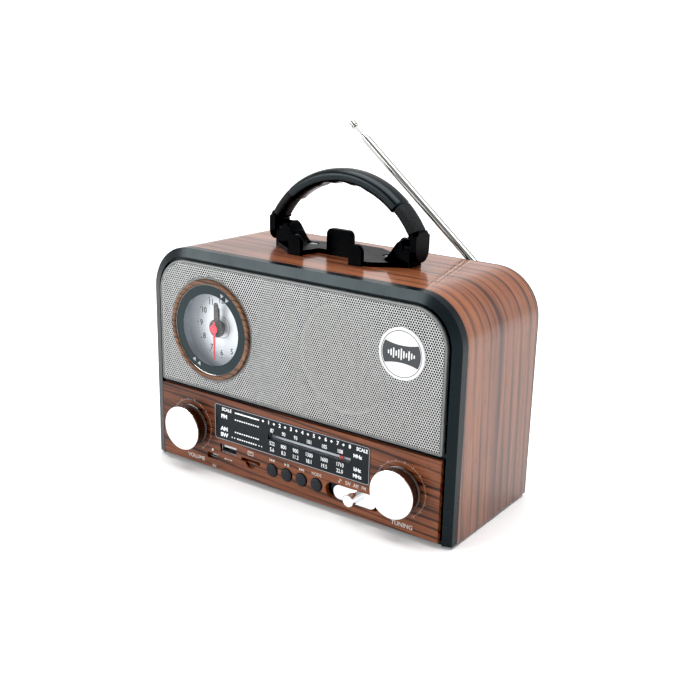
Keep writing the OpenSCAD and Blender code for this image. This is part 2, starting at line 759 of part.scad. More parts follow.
// End cap: the last of the arch, the cheek outside the ear, and the pivot stub.
module end_cap() {
  intersection() {
    union() {
      difference() {
        arch(arch_r - arch_t - 0.2, arch_r + 0.3, cap_depth, 3.6, 12, sleeve_low - 0.05);
        translate([0, front_y, 0]) cube([cheek_x, cabinet_d, pivot_z + 7.5]);
        translate([0, front_y, 0]) cube([arch_r + 1, cabinet_d, pivot_z]);
      }
      on_pivot(cheek_x) cylinder(r = cap_depth / 2, h = 7);
      translate([cheek_x, front_y + handle_depth - cap_depth / 2, pivot_z])
        cube([7, cap_depth, 9]);
    }
    disc([0, arch_z], arch_r + 0.3, handle_depth - 9, handle_depth + 9);
    translate([0, front_y, 0]) cube([cap_x, cabinet_d, arch_z + arch_r]);
  }
  on_pivot(ear_x - 9) cylinder(r = pivot_r, h = 11);
}

module handle_cap_right() color("#1d1f22") on_side(1) end_cap();
module handle_cap_left() color("#1d1f22") on_side(-1) end_cap();

// ---------------------------------------------------------------- assembly

cabinet_shell();
feet();
front_frame();
speaker_grille();
control_panel();
badge();
dial_lens();
dial_plate();
dial_pointer();
dial_cord();
cord_pulley();
clock_bezel();
clock_lens();
clock_cup();
clock_dial();
clock_movement();
hour_hand();
minute_hand();
second_hand();
volume_knob();
volume_cap();
volume_pot();
tuning_knob();
tuning_cap();
tuning_shaft();
tuning_capacitor();
button_1();
button_2();
button_3();
button_4();
tact_switches();
band_slider();
band_switch();
usb_socket();
card_socket();
dc_socket();
power_lamp();
main_board();
port_board();
speaker_basket();
speaker_cone();
ferrite_aerial();
battery_cell();
back_cover();
battery_door();
cover_screws();
aerial_seat();
aerial_swivel();
aerial_tube_1();
aerial_tube_2();
aerial_tube_3();
aerial_tip();
handle_base();
handle_screws();
handle_grip();
handle_sleeve_left();
handle_sleeve_right();
handle_cap_left();
handle_cap_right();
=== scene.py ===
"""Looks of the portable table radio: finishes, fine geometry, printing, floor, lights and camera.

Everything is placed from the CAD frame. Lengths in this script are in millimetres, as named values,
and become metres where a mesh is made. +X is the radio's right, +Y its back, +Z up.
"""

import json
import math

import bmesh
import bpy
from mathutils import Matrix, Vector, noise


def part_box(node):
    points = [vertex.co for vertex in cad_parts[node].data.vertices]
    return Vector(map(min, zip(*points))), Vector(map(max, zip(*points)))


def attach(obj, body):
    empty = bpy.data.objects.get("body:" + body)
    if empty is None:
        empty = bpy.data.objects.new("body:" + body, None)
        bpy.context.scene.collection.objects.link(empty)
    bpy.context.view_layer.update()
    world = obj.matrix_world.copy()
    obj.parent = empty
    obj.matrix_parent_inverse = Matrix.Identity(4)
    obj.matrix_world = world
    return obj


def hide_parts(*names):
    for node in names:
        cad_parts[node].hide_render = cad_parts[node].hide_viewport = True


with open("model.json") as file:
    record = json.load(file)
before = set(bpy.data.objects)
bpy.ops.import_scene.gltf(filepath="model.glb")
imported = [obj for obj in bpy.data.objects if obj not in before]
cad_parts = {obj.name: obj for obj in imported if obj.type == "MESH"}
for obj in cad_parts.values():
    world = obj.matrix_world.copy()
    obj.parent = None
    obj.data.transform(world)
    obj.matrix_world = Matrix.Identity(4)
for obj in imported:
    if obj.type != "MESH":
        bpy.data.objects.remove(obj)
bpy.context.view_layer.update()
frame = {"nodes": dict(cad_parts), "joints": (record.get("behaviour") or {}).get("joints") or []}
MM = 0.001


# ---------------------------------------------------------------- places, read from the frame

def low(node):
    return Vector(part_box(node)[0]) / MM


def high(node):
    return Vector(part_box(node)[1]) / MM


def middle(node):
    return (low(node) + high(node)) / 2


FACE_Y = low("control_panel").y          # front face of the grille and the panel
BASE_Z = low("cabinet_shell").z
CLOCK = middle("clock_bezel")
BADGE = middle("badge")
HANDLE_Y = middle("handle_grip").y


# ---------------------------------------------------------------- finishes

class Finish:
    """A procedural material. Patterns are read in object coordinates, in millimetres."""

    def __init__(self, name, **values):
        self.material = bpy.data.materials.new(name)
        self.material.use_nodes = True
        self.tree = self.material.node_tree
        self.shader = self.tree.nodes["Principled BSDF"]
        for key, value in values.items():
            self.shader.inputs[key.replace("_", " ")].default_value = value

    def add(self, kind, inputs=(), **settings):
        node = self.tree.nodes.new(kind)
        for key, value in settings.items():
            setattr(node, key, value)
        for key, value in dict(inputs).items():
            self.plug(node.inputs[key], value)
        return node

    def plug(self, socket, value):
        if isinstance(value, bpy.types.NodeSocket):
            self.tree.links.new(value, socket)
        else:
            socket.default_value = value

    def place(self, across=(1, 1, 1), turn=(0, 0, 0)):
        """Object coordinates, with one pattern unit every 1 / across millimetres."""
        here = self.add("ShaderNodeTexCoord").outputs["Object"]
        scale = tuple(a / MM for a in across)
        node = self.add("ShaderNodeMapping", {"Vector": here, "Scale": scale, "Rotation": turn})
        return node.outputs["Vector"]

    def noise(self, where, scale=1.0, detail=3.0, rough=0.5, warp=0.0):
        node = self.add("ShaderNodeTexNoise", {"Vector": where, "Scale": scale, "Detail": detail,
                                               "Roughness": rough, "Distortion": warp})
        return node.outputs["Fac"]

    def cells(self, where, scale=1.0, feature="F1"):
        node = self.add("ShaderNodeTexVoronoi", {"Vector": where, "Scale": scale}, feature=feature)
        return node.outputs["Distance"]

    def ramp(self, fac, *stops):
        node = self.add("ShaderNodeValToRGB", {"Fac": fac})
        ends = node.color_ramp.elements
        for i, (at, colour) in enumerate(stops):
            stop = ends[i] if i < 2 else ends.new(at)
            stop.position = at
            stop.color = (*colour, 1.0) if len(colour) == 3 else colour
        return node.outputs["Color"]

    def grey(self, fac, *stops):
        return self.ramp(fac, *[(at, (v, v, v)) for at, v in stops])

    def blend(self, fac, a, b, mode="MIX"):
        node = self.add("ShaderNodeMix", data_type="RGBA", blend_type=mode)
        for socket, value in ((node.inputs[0], fac), (node.inputs[6], a), (node.inputs[7], b)):
            self.plug(socket, (*value, 1.0) if isinstance(value, tuple) else value)
        return node.outputs[2]

    def sum(self, a, b, how="ADD"):
        node = self.add("ShaderNodeMath", operation=how)
        self.plug(node.inputs[0], a)
        self.plug(node.inputs[1], b)
        return node.outputs[0]

    def radius_from(self, at):
        """Distance in metres from an axis along Y through a point in millimetres."""
        here = self.add("ShaderNodeTexCoord").outputs["Object"]
        moved = self.add("ShaderNodeMapping",
                         {"Vector": here, "Location": (-at.x * MM, 0, -at.z * MM)})
        parts = self.add("ShaderNodeSeparateXYZ", {"Vector": moved.outputs["Vector"]})
        flat = self.add("ShaderNodeCombineXYZ",
                        {"X": parts.outputs["X"], "Y": parts.outputs["Z"]})
        length = self.add("ShaderNodeVectorMath", {0: flat.outputs[0]}, operation="LENGTH")
        return length.outputs["Value"]

    def paint(self, colour):
        self.plug(self.shader.inputs["Base Color"], colour)

    def rough(self, value):
        self.plug(self.shader.inputs["Roughness"], value)

    def bump(self, height, depth, strength=1.0):
        """Relief that is depth millimetres deep."""
        node = self.add("ShaderNodeBump", {"Height": height, "Distance": depth * MM,
                                           "Strength": strength})
        self.tree.links.new(node.outputs["Normal"], self.shader.inputs["Normal"])


def wood(name, along, tones, gloss, coat, fine=1.0, streaks=0.8, run=1.0):
    """Printed walnut film. along gives, for X, Y and Z, the ways the grain runs."""
    f = Finish(name, Coat_Weight=coat, Coat_Roughness=0.07, Coat_IOR=1.5,
               Specular_IOR_Level=0.25)

    def grain(across, length):
        """Coordinates with features this many millimetres across and along the grain."""
        return f.place(tuple(1 / (length * run if a else across / fine) for a in along))

    drift = f.noise(grain(26, 420), 1.0, 2.0, 0.5, 0.3)
    flow = f.noise(grain(7.5, 190), 1.0, 4.0, 0.55, 0.5)
    fibre = f.noise(grain(1.5, 90), 1.0, 3.0, 0.6, 0.3)
    pores = f.noise(grain(0.42, 9), 1.0, 2.0, 0.5)
    rings = f.add("ShaderNodeTexWave", {
        "Vector": grain(11, 330), "Scale": 0.9, "Distortion": 4.5, "Detail": 2.0,
        "Detail Scale": 0.8, "Detail Roughness": 0.5,
    }, wave_type="BANDS", bands_direction="DIAGONAL", wave_profile="SIN").outputs["Fac"]
    dark, brown, light = tones
    figure = f.sum(f.sum(drift, 0.45, "MULTIPLY"), f.sum(flow, 0.55, "MULTIPLY"))
    colour = f.ramp(figure, (0.36, brown), (0.62, light), (0.49, tuple(
        (a + b) / 2 for a, b in zip(brown, light))))
    veins = f.sum(f.sum(rings, 0.5, "MULTIPLY"), f.sum(flow, 0.5, "MULTIPLY"))
    colour = f.blend(f.grey(veins, (0.24, 0.85), (0.40, 0.0)), colour, dark)
    patch = f.grey(drift, (0.40, 1.0), (0.58, 0.15))
    streak = f.sum(f.grey(fibre, (0.30, streaks), (0.44, 0.0)), patch, "MULTIPLY")
    colour = f.blend(streak, colour, dark)
    pore = f.grey(pores, (0.31, 0.0), (0.39, 1.0))
    colour = f.blend(1.0, colour, f.grey(fibre, (0.3, 0.80), (0.75, 1.12)), "MULTIPLY")
    f.paint(f.blend(f.grey(pores, (0.30, 0.7), (0.38, 0.0)), colour, dark))
    f.rough(f.grey(flow, (0.2, gloss + 0.08), (0.8, gloss - 0.04)))
    f.bump(pore, 0.02, 0.4)
    return f.material


def moulded(name, colour, roughness, grain=0.35, depth=0.012, wear=0.25, level=0.5,
            tint=(1, 1, 1)):
    """Satin moulded plastic: fine grain, faint cloudiness in colour and gloss."""
    f = Finish(name, Specular_IOR_Level=level, Specular_Tint=(*tint, 1))
    fine = f.noise(f.place((1 / grain,) * 3), 1.0, 2.0, 0.6)
    cloud = f.noise(f.place((0.05,) * 3), 1.0, 4.0, 0.6)
    dark = tuple(c * 0.78 for c in colour)
    light = tuple(c * (1 + wear) for c in colour)
    f.paint(f.ramp(cloud, (0.3, dark), (0.7, light)))
    f.rough(f.grey(cloud, (0.3, roughness - 0.05), (0.7, roughness + 0.06)))
    f.bump(fine, depth, 0.6)
    return f.material


def pebbled(name, colour):
    """Leather-like grain on rubberised plastic."""
    f = Finish(name, Specular_IOR_Level=0.22)
    cell = f.cells(f.place((1 / 0.9,) * 3), 1.0, "F1")
    edge = f.cells(f.place((1 / 0.9,) * 3), 1.0, "DISTANCE_TO_EDGE")
    cloud = f.noise(f.place((0.12,) * 3), 1.0, 3.0, 0.6)
    dark = tuple(c * 0.5 for c in colour)
    # The creases between the pebbles are painted darker: painted shade.
    f.paint(f.blend(f.grey(edge, (0.0, 1.0), (0.14, 0.0)), f.ramp(
        cloud, (0.3, colour), (0.7, tuple(c * 1.35 for c in colour))), dark))
    f.rough(f.grey(cell, (0.1, 0.42), (0.7, 0.62)))
    f.bump(f.grey(edge, (0.0, 0.0), (0.25, 1.0)), 0.10, 0.8)
    return f.material


def polished(name, colour=(0.86, 0.87, 0.88), roughness=0.06, along=(0.02, 0.02, 0.02)):
    """Chrome plate with faint smears and hairlines."""
    f = Finish(name, Metallic=1.0)
    smear = f.noise(f.place(along), 1.0, 5.0, 0.65, 0.4)
    hair = f.noise(f.place(tuple(14 * a for a in along)), 1.0, 3.0, 0.7)
    f.paint(f.ramp(smear, (0.3, tuple(c * 0.93 for c in colour)), (0.7, colour)))
    f.rough(f.sum(f.grey(smear, (0.3, roughness), (0.75, roughness + 0.05)),
                  f.grey(hair, (0.5, 0.0), (0.8, 0.03))))
    return f.material


def spun(name, at):
    """Chrome face with turning marks round an axis along Y."""
    f = Finish(name, Metallic=1.0, Anisotropic=0.35)
    turn = f.add("ShaderNodeCombineXYZ", {"X": f.sum(f.radius_from(at), 6.0 / MM, "MULTIPLY")})
    ring = f.noise(turn.outputs[0], 1.0, 3.0, 0.6)
    f.paint(f.ramp(ring, (0.3, (0.76, 0.78, 0.79)), (0.7, (0.84, 0.85, 0.86))))
    f.rough(f.grey(ring, (0.3, 0.07), (0.7, 0.12)))
    f.bump(ring, 0.002, 0.4)
    return f.material


def plain_metal(name, colour, roughness, streak=(0.05, 0.05, 0.05)):
    f = Finish(name, Metallic=0.95)
    mark = f.noise(f.place(streak), 1.0, 5.0, 0.6)
    f.paint(f.ramp(mark, (0.3, tuple(c * 0.8 for c in colour)), (0.7, colour)))
    f.rough(f.grey(mark, (0.3, roughness), (0.7, roughness + 0.12)))
    f.bump(mark, 0.01, 0.3)
    return f.material


def ink(name, colour, roughness=0.45):
    """Screen-printed ink, slightly uneven in cover."""
    f = Finish(name)
    cover = f.noise(f.place((2.0, 2.0, 2.0)), 1.0, 3.0, 0.6)
    f.paint(f.ramp(cover, (0.25, tuple(c * 0.85 for c in colour)), (0.6, colour)))
    f.rough(f.grey(cover, (0.3, roughness), (0.7, roughness + 0.1)))
    return f.material


def clear(name, sheen):
    """Clear acrylic as a thin pane: see-through, with this much of a mirror's reflection."""
    f = Finish(name, Metallic=1.0)
    haze = f.noise(f.place((0.05,) * 3), 1.0, 3.0, 0.5)
    f.paint(f.ramp(haze, (0.3, (0.90, 0.93, 0.95)), (0.7, (0.95, 0.97, 0.98))))
    f.rough(f.grey(haze, (0.3, 0.015), (0.8, 0.04)))
    f.plug(f.shader.inputs["Alpha"], f.grey(haze, (0.3, sheen * 0.8), (0.7, sheen * 1.2)))
    return f.material


def dial_face(name, at):
    """Silvered clock dial: brushed outwards from the middle, and darker towards the rim as painted
    shade for the cup's wall.
    """
    f = Finish(name, Metallic=0.25)
    speck = f.noise(f.place((3.0, 3.0, 3.0)), 1.0, 2.0, 0.6)
    dial_r = 29
    # Painted shade: the ramp is lighter in the middle and darker at the rim, where the cup's wall
    # would shade the dial.
    rim_shaded_tone = f.ramp(f.sum(f.radius_from(at), 1 / (dial_r * MM), "MULTIPLY"),
                  (0.0, (0.80, 0.83, 0.86)), (1.0, (0.50, 0.55, 0.60)))
    f.paint(f.blend(0.12, rim_shaded_tone, f.grey(speck, (0.3, 0.6), (0.7, 1.1)), "MULTIPLY"))
    f.rough(f.grey(speck, (0.3, 0.30), (0.7, 0.40)))
    return f.material


BLACK = (0.0016, 0.0030, 0.0042)
COOL = (0.78, 0.95, 1.0)                  # tint of the gloss on the black mouldings
FINISH = {
    "wood_wrap": wood("walnut_wrap", (1, 0, 1),
                      ((0.034, 0.0072, 0.0030), (0.100, 0.0245, 0.0100), (0.258, 0.088, 0.038)),
                      gloss=0.30, coat=0.45, fine=0.8, streaks=0.6),
    "wood_panel": wood("walnut_panel", (1, 0, 0),
                       ((0.005, 0.0012, 0.0008), (0.072, 0.018, 0.0072), (0.200, 0.062, 0.025)),
                       gloss=0.36, coat=0.06, fine=1.5, streaks=0.95, run=0.42),
    "ring_wood": wood("walnut_ring", (1, 0, 0),
                      ((0.012, 0.006, 0.004), (0.085, 0.036, 0.018), (0.220, 0.105, 0.055)),
                      gloss=0.34, coat=0.1, fine=2.0),
    "frame": moulded("frame_black", BLACK, 0.24, 0.3, 0.004, level=0.20, tint=COOL),
    "cover": moulded("cover_black", (0.010, 0.0105, 0.012), 0.46, 0.55, 0.03),
    "grille": plain_metal("grille_silver", (0.64, 0.65, 0.64), 0.38, (0.3, 0.3, 0.3)),
    # Dark grey grille rims: painted shade for the shadow gap round the grille and round the clock's
    # ring.
    "grille_edge_painted_shade": plain_metal("grille_edge_painted_shade", (0.20, 0.205, 0.205), 0.50, (0.3, 0.3, 0.3)),
    "badge_white": ink("badge_white", (0.72, 0.73, 0.73), 0.22),
    "badge_dark": ink("badge_dark", (0.020, 0.024, 0.030), 0.28),
    "dial_print": moulded("dial_black", (0.0020, 0.0045, 0.0075), 0.30, 0.4, 0.002, level=0.2),
    "lens_black": moulded("lens_black", (0.004, 0.010, 0.012), 0.16, 0.4, 0.001, level=0.30,
                          tint=COOL),
    "print_white": ink("print_white", (0.90, 0.92, 0.93)),
    "print_grey": ink("print_grey", (0.34, 0.36, 0.39)),
    "print_panel": ink("print_panel", (0.50, 0.45, 0.41)),
    "print_dark": ink("print_dark", (0.004, 0.006, 0.009)),
    "channel": moulded("channel_grey", (0.62, 0.68, 0.74), 0.40, 0.5, 0.01),
    "red": moulded("needle_red", (0.62, 0.030, 0.022), 0.35, 0.5, 0.006),
    "hand_red": moulded("hand_red", (0.66, 0.020, 0.045), 0.38, 0.6, 0.003),
    "hand_black": moulded("hand_black", (0.010, 0.012, 0.014), 0.34, 0.6, 0.003),
    "cup": moulded("cup_grey", (0.30, 0.34, 0.38), 0.36, 0.6, 0.004),
    "glass": clear("lens_clear", 0.020),
    "dial_glass": clear("dial_window", 0.015),
    "knob": moulded("knob_brown", (0.022, 0.0085, 0.0060), 0.13, 0.8, 0.002),
    "knob_edge": moulded("knob_edge", (0.006, 0.005, 0.005), 0.30, 0.5, 0.004),
    "knob_dots": ink("knob_dots", (0.22, 0.21, 0.20)),
    "chrome": polished("chrome"),
    "tube_chrome": polished("tube_chrome", (0.34, 0.345, 0.33), 0.10, (0.02, 0.02, 0.3)),
    "steel": plain_metal("steel", (0.50, 0.51, 0.52), 0.28, (0.4, 0.4, 0.4)),
    "button": moulded("button_slate", (0.0035, 0.0060, 0.0090), 0.34, 0.4, 0.006, level=0.25),
    "grip": moulded("grip_smooth", (0.0008, 0.0014, 0.0022), 0.32, 0.45, 0.008, level=0.24,
                    tint=COOL),
    "pebble": pebbled("sleeve_grain", (0.0014, 0.0022, 0.0032)),
    "cradle": moulded("cradle_black", (0.0005, 0.0009, 0.0014), 0.34, 0.45, 0.010, level=0.05),
    "rubber": moulded("foot_rubber", (0.014, 0.014, 0.014), 0.75, 0.5, 0.05),
    "part": moulded("moulded_part", (0.055, 0.055, 0.055), 0.45, 0.6, 0.02),
    "nylon": moulded("nylon", (0.66, 0.62, 0.50), 0.40, 0.6, 0.01),
    "board": moulded("solder_mask", (0.010, 0.085, 0.030), 0.25, 1.2, 0.03),
    "lamp": moulded("lamp_milky", (0.62, 0.62, 0.58), 0.25, 0.5, 0.003),
    "cone": moulded("cone_paper", (0.020, 0.020, 0.021), 0.80, 0.35, 0.06),
    "basket": plain_metal("basket_steel", (0.16, 0.165, 0.17), 0.42),
    "ferrite": moulded("ferrite", (0.030, 0.028, 0.026), 0.60, 0.5, 0.03),
    "cell": moulded("cell_sleeve", (0.045, 0.130, 0.330), 0.28, 0.9, 0.01),
    "cord": moulded("waxed_cord", (0.50, 0.40, 0.24), 0.70, 0.25, 0.05),
}


def material(finish):
    """A finish by its name, or the material itself."""
    return FINISH[finish] if isinstance(finish, str) else finish


# ---------------------------------------------------------------- mesh making

def smooth_by_angle(bm, degrees=38):
    limit = math.radians(degrees)
    for face in bm.faces:
        face.smooth = True
    for edge in bm.edges:
        if len(edge.link_faces) == 2:
            edge.smooth = edge.calc_face_angle() < limit


def piece(name, bm, finish, body, replaced=(), angle=38):
    """Turns a bmesh in millimetres into a named piece that rides on a body."""
    bmesh.ops.recalc_face_normals(bm, faces=bm.faces)
    smooth_by_angle(bm, angle)
    bmesh.ops.scale(bm, vec=(MM, MM, MM), verts=bm.verts)
    mesh = bpy.data.meshes.new(name)
    bm.to_mesh(mesh)
    bm.free()
    mesh.materials.append(material(finish))
    made = bpy.data.objects.new(name, mesh)
    bpy.context.scene.collection.objects.link(made)
    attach(made, body)
    if replaced:
        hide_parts(*replaced)
    return made


def loft(bm, loops, closed=True, cap_first=False, cap_last=False):
    """Joins loops of the same length with quads. Each loop is a list of points."""
    rows = [[bm.verts.new(p) for p in loop] for loop in loops]
    count = len(rows[0])
    for a, b in zip(rows, rows[1:]):
        for i in range(count if closed else count - 1):
            j = (i + 1) % count
            bm.faces.new((a[i], a[j], b[j], b[i]))
    if cap_first:
        bm.faces.new(rows[0])
    if cap_last:
        bm.faces.new(rows[-1])
    return rows


def circle_xz(at, r, y, steps):
    """Points round an axis along Y."""
    return [Vector((at.x + r * math.cos(2 * math.pi * i / steps), y,
                    at.z + r * math.sin(2 * math.pi * i / steps))) for i in range(steps)]


def lathe(bm, at, profile, steps=96):
    """Turns a profile of (radius, y) about an axis along Y. A radius of 0 closes an end."""
    rings = [circle_xz(at, r, y, steps) for r, y in profile if r > 0]
    rows = loft(bm, rings)
    for at_end, row in ((profile[0], rows[0]), (profile[-1], rows[-1])):
        if at_end[0] == 0:
            tip = bm.verts.new((at.x, at_end[1], at.z))
            for i in range(steps):
                bm.faces.new((row[i], row[(i + 1) % steps], tip))
    return rows


def rounded(points, r, steps=5):
    """Rounds the inner corners of an open profile of (radius, y) points."""
    out = [points[0]]
    for before, here, after in zip(points, points[1:], points[2:]):
        here_v = Vector(here)
        a, b = Vector(before) - here_v, Vector(after) - here_v
        cut = min(r, a.length * 0.45, b.length * 0.45)
        p, q = here_v + a.normalized() * cut, here_v + b.normalized() * cut
        for i in range(steps + 1):
            t = i / steps
            point = p * (1 - t) ** 2 + here_v * 2 * t * (1 - t) + q * t * t
            out.append((point.x, point.y))
    out.append(points[-1])
    return out


def plate(bm, outline, y_front, y_back):
    """A flat plate from an outline of (x, z) points."""
    front = [Vector((x, y_front, z)) for x, z in outline]
    back = [Vector((x, y_back, z)) for x, z in outline]
    loft(bm, [front, back], cap_first=True, cap_last=True)


def ring_plate(bm, outer, inner, y_front, y_back):
    """A flat frame between two outlines with as many points as each other."""
    def loop(points, y):
        return [Vector((x, y, z)) for x, z in points]
    rows = loft(bm, [loop(inner, y_back), loop(inner, y_front), loop(outer, y_front),
                     loop(outer, y_back)])
    count = len(outer)
    for i in range(count):
        j = (i + 1) % count
        bm.faces.new((rows[3][i], rows[3][j], rows[0][j], rows[0][i]))


def arc_points(cx, cz, r, start, end, steps):
    """Points (x, z) along an arc from one angle to another, in degrees."""
    return [(cx + r * math.cos(math.radians(start + (end - start) * i / steps)),
             cz + r * math.sin(math.radians(start + (end - start) * i / steps)))
            for i in range(steps + 1)]


def rect_outline(x0, x1, z0, z1, r_low, r_high, steps=8):
    """A rectangle whose lower and upper corners have their own radii, anticlockwise."""
    out = []
    for cx, cz, r, start in ((x1 - r_low, z0 + r_low, r_low, -90),
                             (x1 - r_high, z1 - r_high, r_high, 0),
                             (x0 + r_high, z1 - r_high, r_high, 90),
                             (x0 + r_low, z0 + r_low, r_low, 180)):
        out += arc_points(cx, cz, r, start, start + 90, steps)
    return out


def box_outline(cx, cz, w, h):
    return [(cx - w / 2, cz - h / 2), (cx + w / 2, cz - h / 2),
            (cx + w / 2, cz + h / 2), (cx - w / 2, cz + h / 2)]


def circle_outline(cx, cz, r, steps=24):
    turns = (2 * math.pi * i / steps for i in range(steps))
    return [(cx + r * math.cos(a), cz + r * math.sin(a)) for a in turns]


def letters(bm, text, x, z, height, y, thick=0.06, bold=0.0, squeeze=1.0):
    """Adds raised lettering that is read from the front, centred on z."""
    curve = bpy.data.curves.new("lettering", "FONT")
    curve.body = text
    curve.align_x = "CENTER"
    curve.align_y = "CENTER"
    curve.size = height * 1.38
    curve.extrude = thick / 2
    curve.offset = bold
    curve.resolution_u = 3
    holder = bpy.data.objects.new("lettering", curve)
    bpy.context.scene.collection.objects.link(holder)
    bpy.context.view_layer.update()
    mesh = bpy.data.meshes.new_from_object(holder)
    turn = Matrix.Translation((x, y, z)) @ Matrix.Rotation(math.pi / 2, 4, "X")
    mesh.transform(turn @ Matrix.Diagonal((squeeze, 1, 1, 1)))
    bm.from_mesh(mesh)
    bpy.data.objects.remove(holder)
    bpy.data.meshes.remove(mesh)
    bpy.data.curves.remove(curve)


# ---------------------------------------------------------------- finishes on the CAD pieces

def dress(node, finish):
    """Gives a CAD piece its finish."""
    made = frame["nodes"][node]
    for held in made.material_slots:
        held.link = "OBJECT"
        held.material = material(finish)


def soften(node, width, angle=40, segments=3):
    """Takes the sharp edge off a CAD piece."""
    made = frame["nodes"][node]
    weld = made.modifiers.new("weld", "WELD")
    weld.merge_threshold = 0.00001
    bevel = made.modifiers.new("soft_edges", "BEVEL")
    bevel.width = width * MM
    bevel.segments = segments
    bevel.limit_method = "ANGLE"
    bevel.angle_limit = math.radians(angle)
    bevel.use_clamp_overlap = True
    bevel.harden_normals = False


DRESS = {
    "wood_wrap": ["cabinet_shell"],
    "wood_panel": ["control_panel"],
    "ring_wood": ["clock_bezel"],
    "frame": ["front_frame"],
    "cover": ["back_cover", "battery_door", "aerial_seat"],
    "rubber": ["feet"],
    "dial_print": ["dial_plate"],
    "glass": ["clock_lens"],
    "cup": ["clock_cup"],
    "red": ["dial_pointer"],
    "hand_red": ["second_hand"],
    "hand_black": ["hour_hand", "minute_hand"],
    "cord": ["dial_cord"],
    "nylon": ["cord_pulley", "tuning_capacitor"],
    "part": ["clock_movement", "volume_pot", "tact_switches", "band_switch"],
    "steel": ["tuning_shaft", "usb_socket", "card_socket", "dc_socket", "cover_screws",
              "handle_screws"],
    "tube_chrome": ["aerial_swivel", "aerial_tube_1", "aerial_tube_2", "aerial_tube_3",
                    "aerial_tip"],
    "chrome": ["band_slider"],
    "lamp": ["power_lamp"],
    "board": ["main_board", "port_board"],
    "basket": ["speaker_basket"],
    "cone": ["speaker_cone"],
    "ferrite": ["ferrite_aerial"],
    "cell": ["battery_cell"],
    "cradle": ["handle_base", "handle_cap_left", "handle_cap_right"],
}
for finish, nodes in DRESS.items():
    for node in nodes:
        dress(node, finish)
dress("clock_dial", dial_face("dial_silver", CLOCK))


# ---------------------------------------------------------------- speaker grille

def make_grille():
    """A pressed sheet with staggered holes and a rolled rim."""
    pitch = 1.67
    row = pitch * math.sqrt(3) / 2
    hole_r = 0.77
    sheet = 0.3
    lo, hi = low("speaker_grille"), high("speaker_grille")
    corner = 23.1
    gap_r = (high("clock_bezel").x - low("clock_bezel").x) / 2 + 0.15
    mid_z = (lo.z + hi.z) / 2

    def inside(x, z):
        if not (lo.x + 0.4 < x < hi.x - 0.4 and lo.z + 0.4 < z < hi.z - 0.4):
            return False
        if math.hypot(x - CLOCK.x, z - CLOCK.z) < gap_r + 0.3:
            return False
        cx = max(abs(x) - (hi.x - corner), 0)
        cz = max(z - (hi.z - corner), 0)
        return math.hypot(cx, cz) < corner - 0.4

    bm = bmesh.new()
    made = {}

    def corner_vert(i2, j3):
        """A corner of the honeycomb, from half-pitch and third-row steps."""
        key = (i2, j3)
        if key not in made:
            made[key] = bm.verts.new((i2 * pitch / 2, FACE_Y, mid_z + j3 * row / 3))
        return made[key]

    around = ((0, 2), (1, 1), (1, -1), (0, -2), (-1, -1), (-1, 1))
    rows = int((hi.z - lo.z) / 2 / row) + 1
    columns = int((hi.x - lo.x) / 2 / pitch) + 1
    for j in range(-rows, rows + 1):
        for i in range(-columns, columns + 1):
            i2, j3 = 2 * i + (j % 2), 3 * j
            spots = [(i2 + di, j3 + dj) for di, dj in around]
            if not all(inside(a * pitch / 2, mid_z + b * row / 3) for a, b in spots):
                continue
            outer = [corner_vert(a, b) for a, b in spots]
            cx, cz = i2 * pitch / 2, mid_z + j3 * row / 3
            inner = [(cx + (v.co.x - cx) * hole_r / (pitch / math.sqrt(3)),
                      cz + (v.co.z - cz) * hole_r / (pitch / math.sqrt(3))) for v in outer]
            front = [bm.verts.new((x, FACE_Y, z)) for x, z in inner]
            back = [bm.verts.new((x, FACE_Y + sheet, z)) for x, z in inner]
            for k in range(6):
                n = (k + 1) % 6
                bm.faces.new((outer[k], outer[n], front[n], front[k]))
                bm.faces.new((front[k], front[n], back[n], back[k]))
    piece("grille_sheet", bm, "grille", "cabinet", ["speaker_grille"], 30)

    bm = bmesh.new()
    back_y = high("speaker_grille").y
    steps = [(0.0, back_y), (0.0, FACE_Y + 0.7), (0.15, FACE_Y + 0.2), (0.5, FACE_Y - 0.02),
             (1.25, FACE_Y - 0.02), (1.3, FACE_Y + 0.3), (1.3, FACE_Y + 0.8)]
    loops = []
    for inset, y in steps:
        outline = rect_outline(lo.x + inset, hi.x - inset, lo.z + inset, hi.z - inset,
                               1.6 - inset, corner - inset, 16)
        loops.append([Vector((x, y, z)) for x, z in outline])
    loft(bm, loops)
    ring = [(gap_r, back_y - 0.5), (gap_r, FACE_Y + 0.1), (gap_r + 0.15, FACE_Y - 0.02),
            (gap_r + 1.4, FACE_Y - 0.02), (gap_r + 1.45, FACE_Y + 0.8)]
    lathe(bm, CLOCK, ring, 128)
    # The rim is dark grey: painted shade for the gaps at the grille's edges.
    piece("grille_rim", bm, "grille_edge_painted_shade", "cabinet")


make_grille()


# ---------------------------------------------------------------- badge

